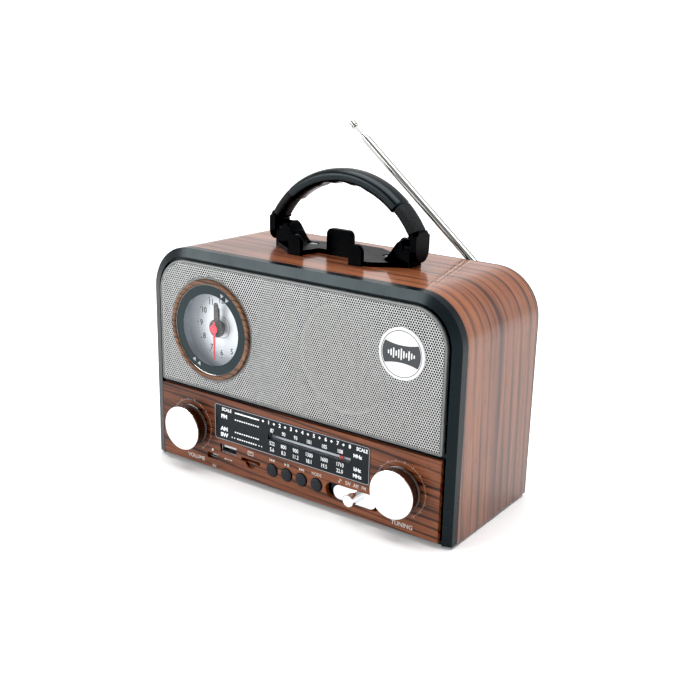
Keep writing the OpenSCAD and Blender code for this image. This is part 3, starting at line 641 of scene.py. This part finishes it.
def make_badge():
    """Round white badge with a generic pattern of bars on a dark band."""
    face = low("badge").y
    back = high("badge").y
    r = (high("badge").x - low("badge").x) / 2
    bm = bmesh.new()
    profile = rounded([(0.001, face + 0.12), (r - 1.5, face + 0.12), (r - 1.25, face),
                       (r - 0.4, face), (r, face + 0.4), (r, back)], 0.2, 3)
    lathe(bm, BADGE, [(0, face + 0.12)] + profile, 128)
    piece("badge_disc", bm, "badge_white", "cabinet", ["badge"])

    bm = bmesh.new()
    front = face + 0.06
    ring_plate(bm, circle_outline(BADGE.x, BADGE.z, r - 1.75, 96),
               circle_outline(BADGE.x, BADGE.z, r - 2.15, 96), front, face + 0.2)
    # Dark centre band, with its upper and lower edges curving inwards
    reach = r - 2.6
    half = 5.2
    sag = 1.6
    steps = 24
    edge = math.degrees(math.asin((half + sag) / reach))
    right = arc_points(0, 0, reach, -edge, edge, steps)
    left = [(-x, z) for x, z in reversed(right)]
    span = right[-1][0]

    def across(sign, forward):
        points = []
        for i in range(1, steps):
            x = -span + 2 * span * i / steps
            if not forward:
                x = -x
            points.append((x, sign * (half + sag * (x / span) ** 2)))
        return points

    band = right + across(1, False) + left + across(-1, True)
    plate(bm, [(BADGE.x + x, BADGE.z + z) for x, z in band], front, face + 0.2)
    piece("badge_band", bm, "badge_dark", "cabinet")

    bm = bmesh.new()
    heights = (2.2, 4.0, 6.2, 3.2, 5.2, 7.0, 4.4, 2.8, 5.6, 3.6, 2.0)
    for i, tall in enumerate(heights):
        x = BADGE.x + (i - (len(heights) - 1) / 2) * 1.75
        plate(bm, rect_outline(x - 0.45, x + 0.45, BADGE.z - tall / 2, BADGE.z + tall / 2,
                               0.4, 0.4, 4), face + 0.02, face + 0.1)
    piece("badge_bars", bm, "badge_white", "cabinet")


make_badge()


# ---------------------------------------------------------------- knobs

def make_knob(side, body):
    """Knob with a spun face, a glossy body, a fluted skirt and a row of dots."""
    cap, knob = side + "_cap", side + "_knob"
    at = middle(cap)
    face, seat = low(cap).y, high(cap).y
    r = (high(cap).x - low(cap).x) / 2
    bm = bmesh.new()
    profile = [(0, face + 0.25), (r * 0.55, face + 0.22), (r - 2.2, face + 0.12)]
    profile += rounded([(r - 1.6, face), (r, face), (r, seat), (r - 1.2, seat)], 0.5, 5)
    lathe(bm, at, profile, 144)
    piece(side + "_cap_disc", bm, spun(side + "_spun", at), body, [cap])

    # Smooth glossy body between the cap and a fine fluted skirt
    foot = FACE_Y - 0.5
    wide = r - 0.3
    neck = r - 0.9
    steps, flutes = 288, 72

    def ring(radius, y, depth=0.0):
        loop = []
        for i in range(steps):
            a = 2 * math.pi * i / steps
            here = radius - depth * (0.5 - 0.5 * math.cos(flutes * a))
            loop.append(Vector((at.x + here * math.cos(a), y, at.z + here * math.sin(a))))
        return loop

    bm = bmesh.new()
    loft(bm, [ring(12.5, foot + 0.05), ring(wide - 0.4, foot), ring(wide, foot - 0.35),
              ring(wide, foot - 0.9), ring(neck + 0.03, foot - 1.2), ring(neck, foot - 1.35, 0.3),
              ring(neck, foot - 2.5, 0.3), ring(neck, foot - 2.7), ring(neck, foot - 3.0),
              ring(neck + 0.05, seat + 1.2), ring(neck + 0.25, seat + 0.5), ring(neck + 0.3, seat),
              ring(3.2, seat)])
    piece(side + "_knob_body", bm, "knob", body, [knob], 50)

    # Pale dots between the skirt and the black edge
    bm = bmesh.new()
    for i in range(flutes):
        a = 2 * math.pi * i / flutes
        out = Vector((math.cos(a), 0, math.sin(a)))
        bead = bmesh.ops.create_icosphere(bm, subdivisions=1, radius=0.27)["verts"]
        centre = Vector((at.x, foot - 1.95, at.z)) + out * (neck - 0.02)
        bmesh.ops.translate(bm, verts=bead, vec=centre)
    piece(side + "_knob_dots", bm, "knob_dots", body)


make_knob("volume", "volume")
make_knob("tuning", "tuning")


# ---------------------------------------------------------------- push buttons

def make_button(number):
    """Push button with a slightly domed face and a flange behind the panel."""
    node = "button_%d" % number
    at = middle(node)
    face, back = low(node).y, high(node).y
    r = 4.35
    bm = bmesh.new()
    profile = [(0, face), (r * 0.5, face + 0.06)]
    profile += rounded([(r * 0.8, face + 0.14), (r, face + 0.35), (r, face + 7.8),
                        (5.5, face + 7.8), (5.5, face + 9.2), (2.0, face + 9.2), (2.0, back)],
                       0.35, 4)
    profile.append((0, back))
    lathe(bm, at, profile, 72)
    piece("key_cap_%d" % number, bm, "button", "key_%d" % number, [node])


for number in range(1, 5):
    make_button(number)


# ---------------------------------------------------------------- handle

ARCH_Z = BASE_Z + 139                     # centre of the handle's arch
OUT_R = high("handle_grip").z - ARCH_Z
SEAM_LOW, SEAM_HIGH = 30.6, 48.5          # angles round the arch where a sleeve ends
GRIP_T = 9.9                              # thickness of the smooth grip, below its outside
SLEEVE_T = 8.0                            # thickness of a sleeve
FINGER = 13.5                             # distance between finger scoops, along the grip
SCOOP = 2.3                               # depth of a scoop
PEBBLE = 1.15                             # size of a pebble on a sleeve
PEBBLE_DEPTH = 0.16


def arch_point(radius, angle, depth):
    a = math.radians(angle)
    return Vector((radius * math.cos(a), HANDLE_Y + depth, ARCH_Z + radius * math.sin(a)))


def section(r_in, r_out, depth, power, steps):
    """A superellipse across the arch, as (radius, depth) points."""
    out = []
    for i in range(steps):
        t = 2 * math.pi * i / steps
        c, s = math.cos(t), math.sin(t)
        c = math.copysign(abs(c) ** (2 / power), c)
        s = math.copysign(abs(s) ** (2 / power), s)
        out.append(((r_in + r_out) / 2 + c * (r_out - r_in) / 2, s * depth / 2))
    return out


def make_grip():
    """Smooth middle of the handle, scooped for the fingers underneath."""
    r_out = OUT_R
    r_in = r_out - GRIP_T
    depth = high("handle_grip").y - low("handle_grip").y
    start, end, steps, around = SEAM_HIGH, 180 - SEAM_HIGH, 150, 56
    finger = FINGER / r_in * 180 / math.pi
    loops = []
    for i in range(steps + 1):
        angle = start + (end - start) * i / steps
        edge = min(angle - start, end - angle) * math.pi / 180 * r_in
        pinch = 0.7 * (1 - min(1.0, edge / 0.9)) ** 2
        off = abs(angle - 90) / finger
        scoop = 0.0
        if off < 1.5:
            scoop = SCOOP * (0.5 - 0.5 * math.cos(2 * math.pi * (off + 0.5))) * \
                min(1.0, (1.5 - off) * 2.2)
        swell = 0.35 * math.cos(math.radians((angle - 90) * 2)) - 0.35
        loop = []
        for radius, d in section(r_in + pinch, r_out - pinch + swell * 0.4,
                                 depth - 2 * pinch + swell, 2.7, around):
            inner = max(0.0, ((r_in + r_out) / 2 - radius) / ((r_out - r_in) / 2))
            side = 1 - (abs(d) / (depth / 2)) ** 2
            loop.append(arch_point(radius + scoop * inner ** 2 * max(0.0, side), angle, d))
        loops.append(loop)
    bm = bmesh.new()
    loft(bm, loops, cap_first=True, cap_last=True)
    piece("grip_smooth", bm, "grip", "handle", ["handle_grip"], 60)


def make_sleeve(name, start, end):
    """Grained sleeve: the pebbles are in the mesh."""
    r_out = OUT_R - 0.3
    r_in = r_out - SLEEVE_T
    depth = 15.0
    steps, around = 72, 150
    loops = []
    for i in range(steps + 1):
        angle = start + (end - start) * i / steps
        edge = min(angle - start, end - angle) * math.pi / 180 * r_in
        pinch = 0.7 * (1 - min(1.0, edge / 0.8)) ** 2
        loop = []
        for radius, d in section(r_in + pinch, r_out - pinch, depth - 2 * pinch, 2.7, around):
            here = arch_point(radius, angle, d)
            out = Vector((math.cos(math.radians(angle)) * (radius - (r_in + r_out) / 2),
                          d * (r_out - r_in) / depth,
                          math.sin(math.radians(angle)) * (radius - (r_in + r_out) / 2)))
            near = noise.voronoi(here / PEBBLE)[0]
            relief = min(1.0, (near[1] - near[0]) * 3.0)
            loop.append(here - out.normalized() * PEBBLE_DEPTH * (1 - relief) * min(1.0, edge))
        loops.append(loop)
    bm = bmesh.new()
    loft(bm, loops, cap_first=True, cap_last=True)
    piece(name + "_grained", bm, "pebble", "handle", ["handle_" + name], 75)


make_grip()
make_sleeve("sleeve_right", SEAM_LOW, SEAM_HIGH - 0.1)
make_sleeve("sleeve_left", 180.1 - SEAM_HIGH, 180 - SEAM_LOW)
soften("handle_cap_left", 0.8)
soften("handle_cap_right", 0.8)
soften("handle_base", 0.5)


# ---------------------------------------------------------------- clock

def make_clock():
    """Printed border and chrome bead of the lens, and the printing on the dial."""
    border_r, numeral_r, minute_r, inner_ring_r = 24.1, 17.9, 21.3, 7.6
    lens_front = low("clock_lens").y
    lens_r = (high("clock_lens").x - low("clock_lens").x) / 2
    bm = bmesh.new()
    # Black border of the lens
    print_y = lens_front - 0.03
    ring_plate(bm, circle_outline(CLOCK.x, CLOCK.z, lens_r - 0.3, 128),
               circle_outline(CLOCK.x, CLOCK.z, border_r, 128), print_y, print_y + 0.05)
    piece("lens_border", bm, "lens_black", "cabinet")

    bm = bmesh.new()
    bead = lens_r + 0.02
    profile = [(bead, lens_front - 0.02), (bead - 0.05, lens_front - 0.25),
               (bead - 0.22, lens_front - 0.35), (bead - 0.4, lens_front - 0.25),
               (bead - 0.45, lens_front - 0.02)]
    lathe(bm, CLOCK, profile, 128)
    piece("lens_bead", bm, "tube_chrome", "cabinet")

    # Small silver marks on the border, in two opposite pairs
    bm = bmesh.new()
    for middle_angle in (62, 242):
        for off in (-5.2, 5.2):
            a = math.radians(middle_angle + off)
            out = Vector((math.cos(a), math.sin(a)))
            side = Vector((-out.y, out.x))
            tip = out * 24.9
            foot = out * 27.6
            corners = (tip, foot + side * 1.5, foot - side * 1.5)
            plate(bm, [(CLOCK.x + c.x, CLOCK.z + c.y) for c in corners],
                  print_y - 0.02, print_y + 0.02)
    piece("lens_marks", bm, "print_grey", "cabinet")

    # Printing on the dial
    y = low("clock_dial").y - 0.03
    bm = bmesh.new()
    for hour in range(1, 13):
        a = math.radians(90 - 30 * hour)
        letters(bm, str(hour), CLOCK.x + numeral_r * math.cos(a),
                CLOCK.z + numeral_r * math.sin(a), 4.0, y, 0.05, bold=0.10, squeeze=0.9)
    for minute in range(60):
        a = math.radians(6 * minute)
        r = 0.5 if minute % 5 == 0 else 0.27
        plate(bm, circle_outline(CLOCK.x + minute_r * math.cos(a),
                                 CLOCK.z + minute_r * math.sin(a), r, 10), y - 0.02, y + 0.03)
    ring_plate(bm, circle_outline(CLOCK.x, CLOCK.z, inner_ring_r, 64),
               circle_outline(CLOCK.x, CLOCK.z, inner_ring_r - 0.3, 64), y - 0.02, y + 0.03)
    piece("dial_numerals", bm, "print_dark", "cabinet")


make_clock()


# ---------------------------------------------------------------- tuning dial

def make_dial():
    """Printing on the dial's window, the window over the needle's slot, and its channel."""
    left, right = low("dial_lens").x, high("dial_lens").x
    bottom, top = low("dial_lens").z, high("dial_lens").z
    front, back = low("dial_lens").y, high("dial_lens").y
    y = front - 0.02
    bm = bmesh.new()
    z0 = bottom - 26.2
    slot_z, row_z = z0 + 38.55, z0 + 47.9
    fm_z, am_z, sw_z = z0 + 42.9, z0 + 34.1, z0 + 29.8

    def numbers(row, z):
        for at, text in zip((49.6, 59.2, 69.0, 79.8, 91.7, 103.9), row):
            letters(bm, text, left + at, z, 2.7, y, bold=0.02, squeeze=0.80)

    numbers(("87", "90", "93", "101", "105", "108"), fm_z)
    numbers(("522", "800", "900", "1300", "1600", "1710"), am_z)
    numbers(("5.6", "8.3", "11.2", "18.1", "19.5", "22.0"), sw_z)
    for text, z in (("MHz", fm_z), ("kHz", am_z), ("MHz", sw_z)):
        letters(bm, text, right - 8.9, z, 2.4, y, bold=0.10)
    for text, z in (("FM", fm_z), ("AM", am_z), ("SW", sw_z)):
        letters(bm, text, left + 8.3, z, 2.7, y, bold=0.16, squeeze=1.15)
    # Scale row: diamonds with numbers between them
    pitch = 9.2
    first = left + 42.0
    for i in range(8):
        x = first + i * pitch
        plate(bm, [(x - 0.95, row_z), (x, row_z - 0.95), (x + 0.95, row_z), (x, row_z + 0.95)],
              y - 0.03, y + 0.03)
        letters(bm, str(i + 1), x + pitch / 2 + 0.2, row_z, 2.5, y, bold=0.10)
    plate(bm, box_outline(left + 28.3, row_z - 0.2, 20.8, 0.95), y - 0.03, y + 0.03)
    for x in (left + 10.6, right - 5.6):
        letters(bm, "SCALE", x, row_z, 2.3, y, bold=0.08, squeeze=0.95)
    # Plain dashes where each band's row begins
    for z, dashes in ((fm_z, 11), (am_z, 11), (sw_z, 9)):
        for i in range(dashes):
            x = left + 18.3 + i * 1.95 + (1.95 if dashes == 9 else 0)
            plate(bm, box_outline(x, z, 1.25, 0.85), y - 0.03, y + 0.03)
    for x in (left + 15.2, left + 17.4, left + 38.6, left + 40.8):
        plate(bm, box_outline(x, sw_z, 0.8, 0.8), y - 0.03, y + 0.03)
    piece("dial_scale", bm, "print_white", "cabinet")

    # The window's black print, open only over the needle's slot
    bm = bmesh.new()
    slot = (left + 46.2, right - 14.0, slot_z - 1.9, slot_z + 1.9)
    ring_plate(bm, rect_outline(left, right, bottom, top, 1.9, 1.9),
               rect_outline(*slot, 0.1, 0.1), front, back)
    piece("window_print", bm, "dial_print", "cabinet", ["dial_lens"])

    bm = bmesh.new()
    plate(bm, rect_outline(*slot, 0.05, 0.05), front + 0.4, front + 0.8)
    piece("window_pane", bm, "dial_glass", "cabinet")

    # Grey channel behind the needle
    bm = bmesh.new()
    plate(bm, box_outline((left + 46.9 + right - 13.8) / 2, slot_z, 68, 4.6),
          high("dial_plate").y + 1.55, high("dial_plate").y + 1.68)
    piece("needle_channel", bm, "channel", "cabinet")

    # Bevelled edge of the window, in grey ink as a painted highlight
    bm = bmesh.new()
    loops = []
    for inset, depth in ((0.0, 0.35), (0.0, 0.08), (0.12, -0.02), (0.42, -0.02), (0.5, 0.1),
                         (0.5, 0.35)):
        outline = rect_outline(left + inset, right - inset, bottom + inset, top - inset,
                               1.9 - inset * 0.8, 1.9 - inset * 0.8)
        loops.append([Vector((x, front + depth, z)) for x, z in outline])
    loft(bm, loops)
    piece("window_edge_painted_highlight", bm, "print_grey", "cabinet")


make_dial()


# ---------------------------------------------------------------- printing on the panel

def make_panel_marks():
    """Scales round the knobs, and the names and symbols on the panel."""
    bm = bmesh.new()
    front, back = FACE_Y - 0.03, FACE_Y + 0.04
    count, sweep = 76, 300
    for node in ("volume_cap", "tuning_cap"):
        at = middle(node)
        for i in range(count + 1):
            a = math.radians(90 + sweep / 2 - sweep * i / count)
            long = i % 5 == 0
            inner, outer = (17.2, 18.6) if long else (17.3, 17.9)
            wide = 0.16 if long else 0.14
            out = Vector((math.cos(a), math.sin(a)))
            side = Vector((-out.y, out.x)) * wide
            corners = (out * inner - side, out * outer - side, out * outer + side,
                       out * inner + side)
            plate(bm, [(at.x + c.x, at.z + c.y) for c in corners], front, back)
    y = FACE_Y - 0.01
    z0 = BASE_Z - 1.4
    for text, x in (("VOLUME", low("volume_cap").x + 18.6),
                    ("TUNING", high("tuning_cap").x - 13.2)):
        letters(bm, text, x, z0 + 7.4, 2.9, y, 0.06, bold=0.06)
    letters(bm, "5V", middle("dc_socket").x + 1.2, z0 + 4.6, 2.3, y, 0.06, bold=0.03)
    # Generic symbols over the card slot and under the stick socket
    card = middle("card_socket")
    ring_plate(bm, rect_outline(card.x - 2.4, card.x + 2.4, z0 + 20.7, z0 + 23.7, 0.4, 0.4, 3),
               rect_outline(card.x - 2.0, card.x + 2.0, z0 + 21.1, z0 + 23.3, 0.25, 0.25, 3),
               front, back)
    plate(bm, box_outline(card.x, z0 + 22.6, 2.4, 0.5), front, back)
    stick = middle("usb_socket")
    plate(bm, box_outline(stick.x, z0 + 12.6, 5.0, 0.35), front, back)
    plate(bm, circle_outline(stick.x - 2.9, z0 + 12.6, 0.6, 16), front, back)
    plate(bm, [(stick.x + 2.3, z0 + 12.0), (stick.x + 3.5, z0 + 12.6), (stick.x + 2.3, z0 + 13.2)],
          front, back)
    # Transport symbols over the buttons
    z = z0 + 22.3

    def triangle(x, point):
        plate(bm, [(x - point * 0.7, z - 1.05), (x + point * 0.95, z), (x - point * 0.7, z + 1.05)],
              front, back)

    def bar(x):
        plate(bm, box_outline(x, z, 0.42, 2.1), front, back)

    keys = [middle("button_%d" % i).x for i in range(1, 5)]
    bar(keys[0] - 1.9)
    triangle(keys[0] - 0.6, -1)
    triangle(keys[0] + 1.2, -1)
    triangle(keys[1] - 1.0, 1)
    bar(keys[1] + 0.8)
    bar(keys[1] + 1.7)
    triangle(keys[2] - 1.2, 1)
    triangle(keys[2] + 0.6, 1)
    bar(keys[2] + 1.9)
    letters(bm, "MODE", keys[3], z, 2.2, y, 0.06, bold=0.01, squeeze=0.9)
    # Band names over the switch, and a note for the player
    first = middle("band_slider").x - 10.9
    for i, text in enumerate(("SW", "AM", "FM")):
        letters(bm, text, first + 6.0 * (i + 1), z0 + 23.0, 2.5, y, 0.06, bold=0.05, squeeze=0.8)
    plate(bm, circle_outline(first - 0.7, z0 + 22.4, 0.65, 16), front, back)
    plate(bm, box_outline(first - 0.2, z0 + 23.5, 0.3, 2.4), front, back)
    plate(bm, [(first - 0.35, z0 + 24.7), (first - 0.35, z0 + 24.0), (first + 1.2, z0 + 23.4),
               (first + 1.2, z0 + 24.1)], front, back)
    piece("panel_print", bm, "print_panel", "cabinet")


make_panel_marks()


# ---------------------------------------------------------------- aerial trim

def make_aerial_trim():
    """Rolled ends on the tubes and the dark ring under the tip's cap."""
    axis = next(j for j in frame["joints"] if j["name"] == "aerial_slide_2")["axis"]
    along = Vector(axis).normalized()
    across = along.orthogonal().normalized()
    third = along.cross(across)

    def bead(name, node, r, body, finish, slot, back, wide):
        """A rolled ring round a tube, this far back from its end."""
        radius = (high(node).y - low(node).y) / 2
        tip = Vector((low(node).x + radius * abs(along.z), middle(node).y,
                      high(node).z - radius * abs(along.x)))
        end = tip - along * back
        loops = []
        for i in range(13):
            t = 2 * math.pi * i / 12
            ring_r, step = r + wide * 0.5 * math.cos(t), wide * math.sin(t)
            loops.append([end + along * step + (across * math.cos(u) + third * math.sin(u)) * ring_r
                          for u in (2 * math.pi * k / 40 for k in range(40))])
        bm = bmesh.new()
        loft(bm, loops)
        bmesh.ops.remove_doubles(bm, verts=bm.verts, dist=0.0001)
        piece(name, bm, finish, body)

    for i, r in ((1, 2.62), (2, 1.98), (3, 1.38)):
        bead("tube_%d_end" % i, "aerial_tube_%d" % i, r, "aerial_%d" % i, "tube_chrome", "chrome",
             0.4, 0.3)
    bead("tip_ring", "aerial_tip", 2.05, "aerial_4", "knob_edge", "black_plastic", 3.6, 0.5)


make_aerial_trim()


# ---------------------------------------------------------------- floor, lights and camera

def make_stage():
    """White sheet under and behind the radio, and the studio round it."""
    half_width, steps = 12.0, 24
    bm = bmesh.new()
    bmesh.ops.create_grid(bm, x_segments=steps, y_segments=steps, size=half_width)
    mesh = bpy.data.meshes.new("floor")
    bm.to_mesh(mesh)
    bm.free()
    floor = bpy.data.objects.new("floor", mesh)
    bpy.context.scene.collection.objects.link(floor)
    f = Finish("floor_pale", Roughness=0.5, Specular_IOR_Level=0.15)
    cloud = f.noise(f.place((0.002,) * 3), 1.0, 2.0, 0.5)
    f.paint(f.ramp(cloud, (0.3, (0.93, 0.935, 0.94)), (0.7, (0.95, 0.95, 0.95))))
    # Far from the radio the sheet glows, a painted light that grows with distance, so it stays
    # white to its edge
    here = f.add("ShaderNodeTexCoord").outputs["Object"]
    reach = f.add("ShaderNodeVectorMath", {0: here}, operation="LENGTH").outputs["Value"]
    f.plug(f.shader.inputs["Emission Color"], (1.0, 1.0, 1.0, 1.0))
    f.plug(f.shader.inputs["Emission Strength"], f.grey(f.sum(reach, 0.5, "MULTIPLY"),
                                                        (0.12, 0.0), (0.7, 0.65)))
    mesh.materials.append(f.material)

    world = bpy.data.worlds.new("studio")
    world.use_nodes = True
    tree = world.node_tree
    way = tree.nodes.new("ShaderNodeTexCoord")
    parts = tree.nodes.new("ShaderNodeSeparateXYZ")
    ramp = tree.nodes.new("ShaderNodeValToRGB")
    tree.links.new(way.outputs["Generated"], parts.inputs[0])
    tree.links.new(parts.outputs["Z"], ramp.inputs[0])
    tree.links.new(ramp.outputs["Color"], tree.nodes["Background"].inputs["Color"])
    for stop, (at, value) in zip(ramp.color_ramp.elements, ((0.30, 1.05), (0.52, 0.50))):
        stop.position = at
        stop.color = (value, value, value, 1.0)
    bpy.context.scene.world = world


def add_light(name, at, towards, size, power):
    """A soft box. Places and sizes are in metres, power in watts."""
    data = bpy.data.lights.new(name, "AREA")
    data.shape = "RECTANGLE"
    data.size, data.size_y = size
    data.energy = power
    lamp = bpy.data.objects.new(name, data)
    lamp.location = at
    aim = Vector(towards) - Vector(at)
    lamp.rotation_mode = "QUATERNION"
    lamp.rotation_quaternion = aim.to_track_quat("-Z", "Y")
    bpy.context.scene.collection.objects.link(lamp)


def make_camera():
    """Looks at the radio's front from its right and a little from above."""
    eye = (0.3734, -0.5073, 0.2820)
    azimuth, elevation, roll = (math.radians(a) for a in (33.18, 16.52, 2.05))
    forward = Vector((-math.sin(azimuth) * math.cos(elevation),
                      math.cos(azimuth) * math.cos(elevation), -math.sin(elevation)))
    right = Vector((math.cos(azimuth), math.sin(azimuth), 0))
    up = right.cross(forward)
    right, up = (right * math.cos(roll) + up * math.sin(roll),
                 up * math.cos(roll) - right * math.sin(roll))
    data = bpy.data.cameras.new("camera")
    data.sensor_width = 36.0
    data.lens = 51.1
    data.shift_x, data.shift_y = -0.057, -0.0107
    made = bpy.data.objects.new("camera", data)
    turn = Matrix((right, up, -forward)).transposed().to_4x4()
    made.matrix_world = Matrix.Translation(eye) @ turn
    bpy.context.scene.collection.objects.link(made)
    bpy.context.scene.camera = made


make_stage()
add_light("overhead", at=(0.0, 0.15, 1.3), towards=(0, 0.02, 0.1), size=(1.5, 1.1), power=26)
add_light("front_left", at=(-0.95, -1.30, 0.62), towards=(0, 0, 0.14), size=(0.95, 0.55), power=15)
add_light("right", at=(1.4, 0.5, 0.9), towards=(0.1, 0, 0.1), size=(0.8, 0.9), power=1.5)
make_camera()
view = bpy.context.scene.view_settings
view.view_transform = "Standard"
view.use_curve_mapping = True
view.curve_mapping.black_level = (0.006, 0.006, 0.006)
view.curve_mapping.update()
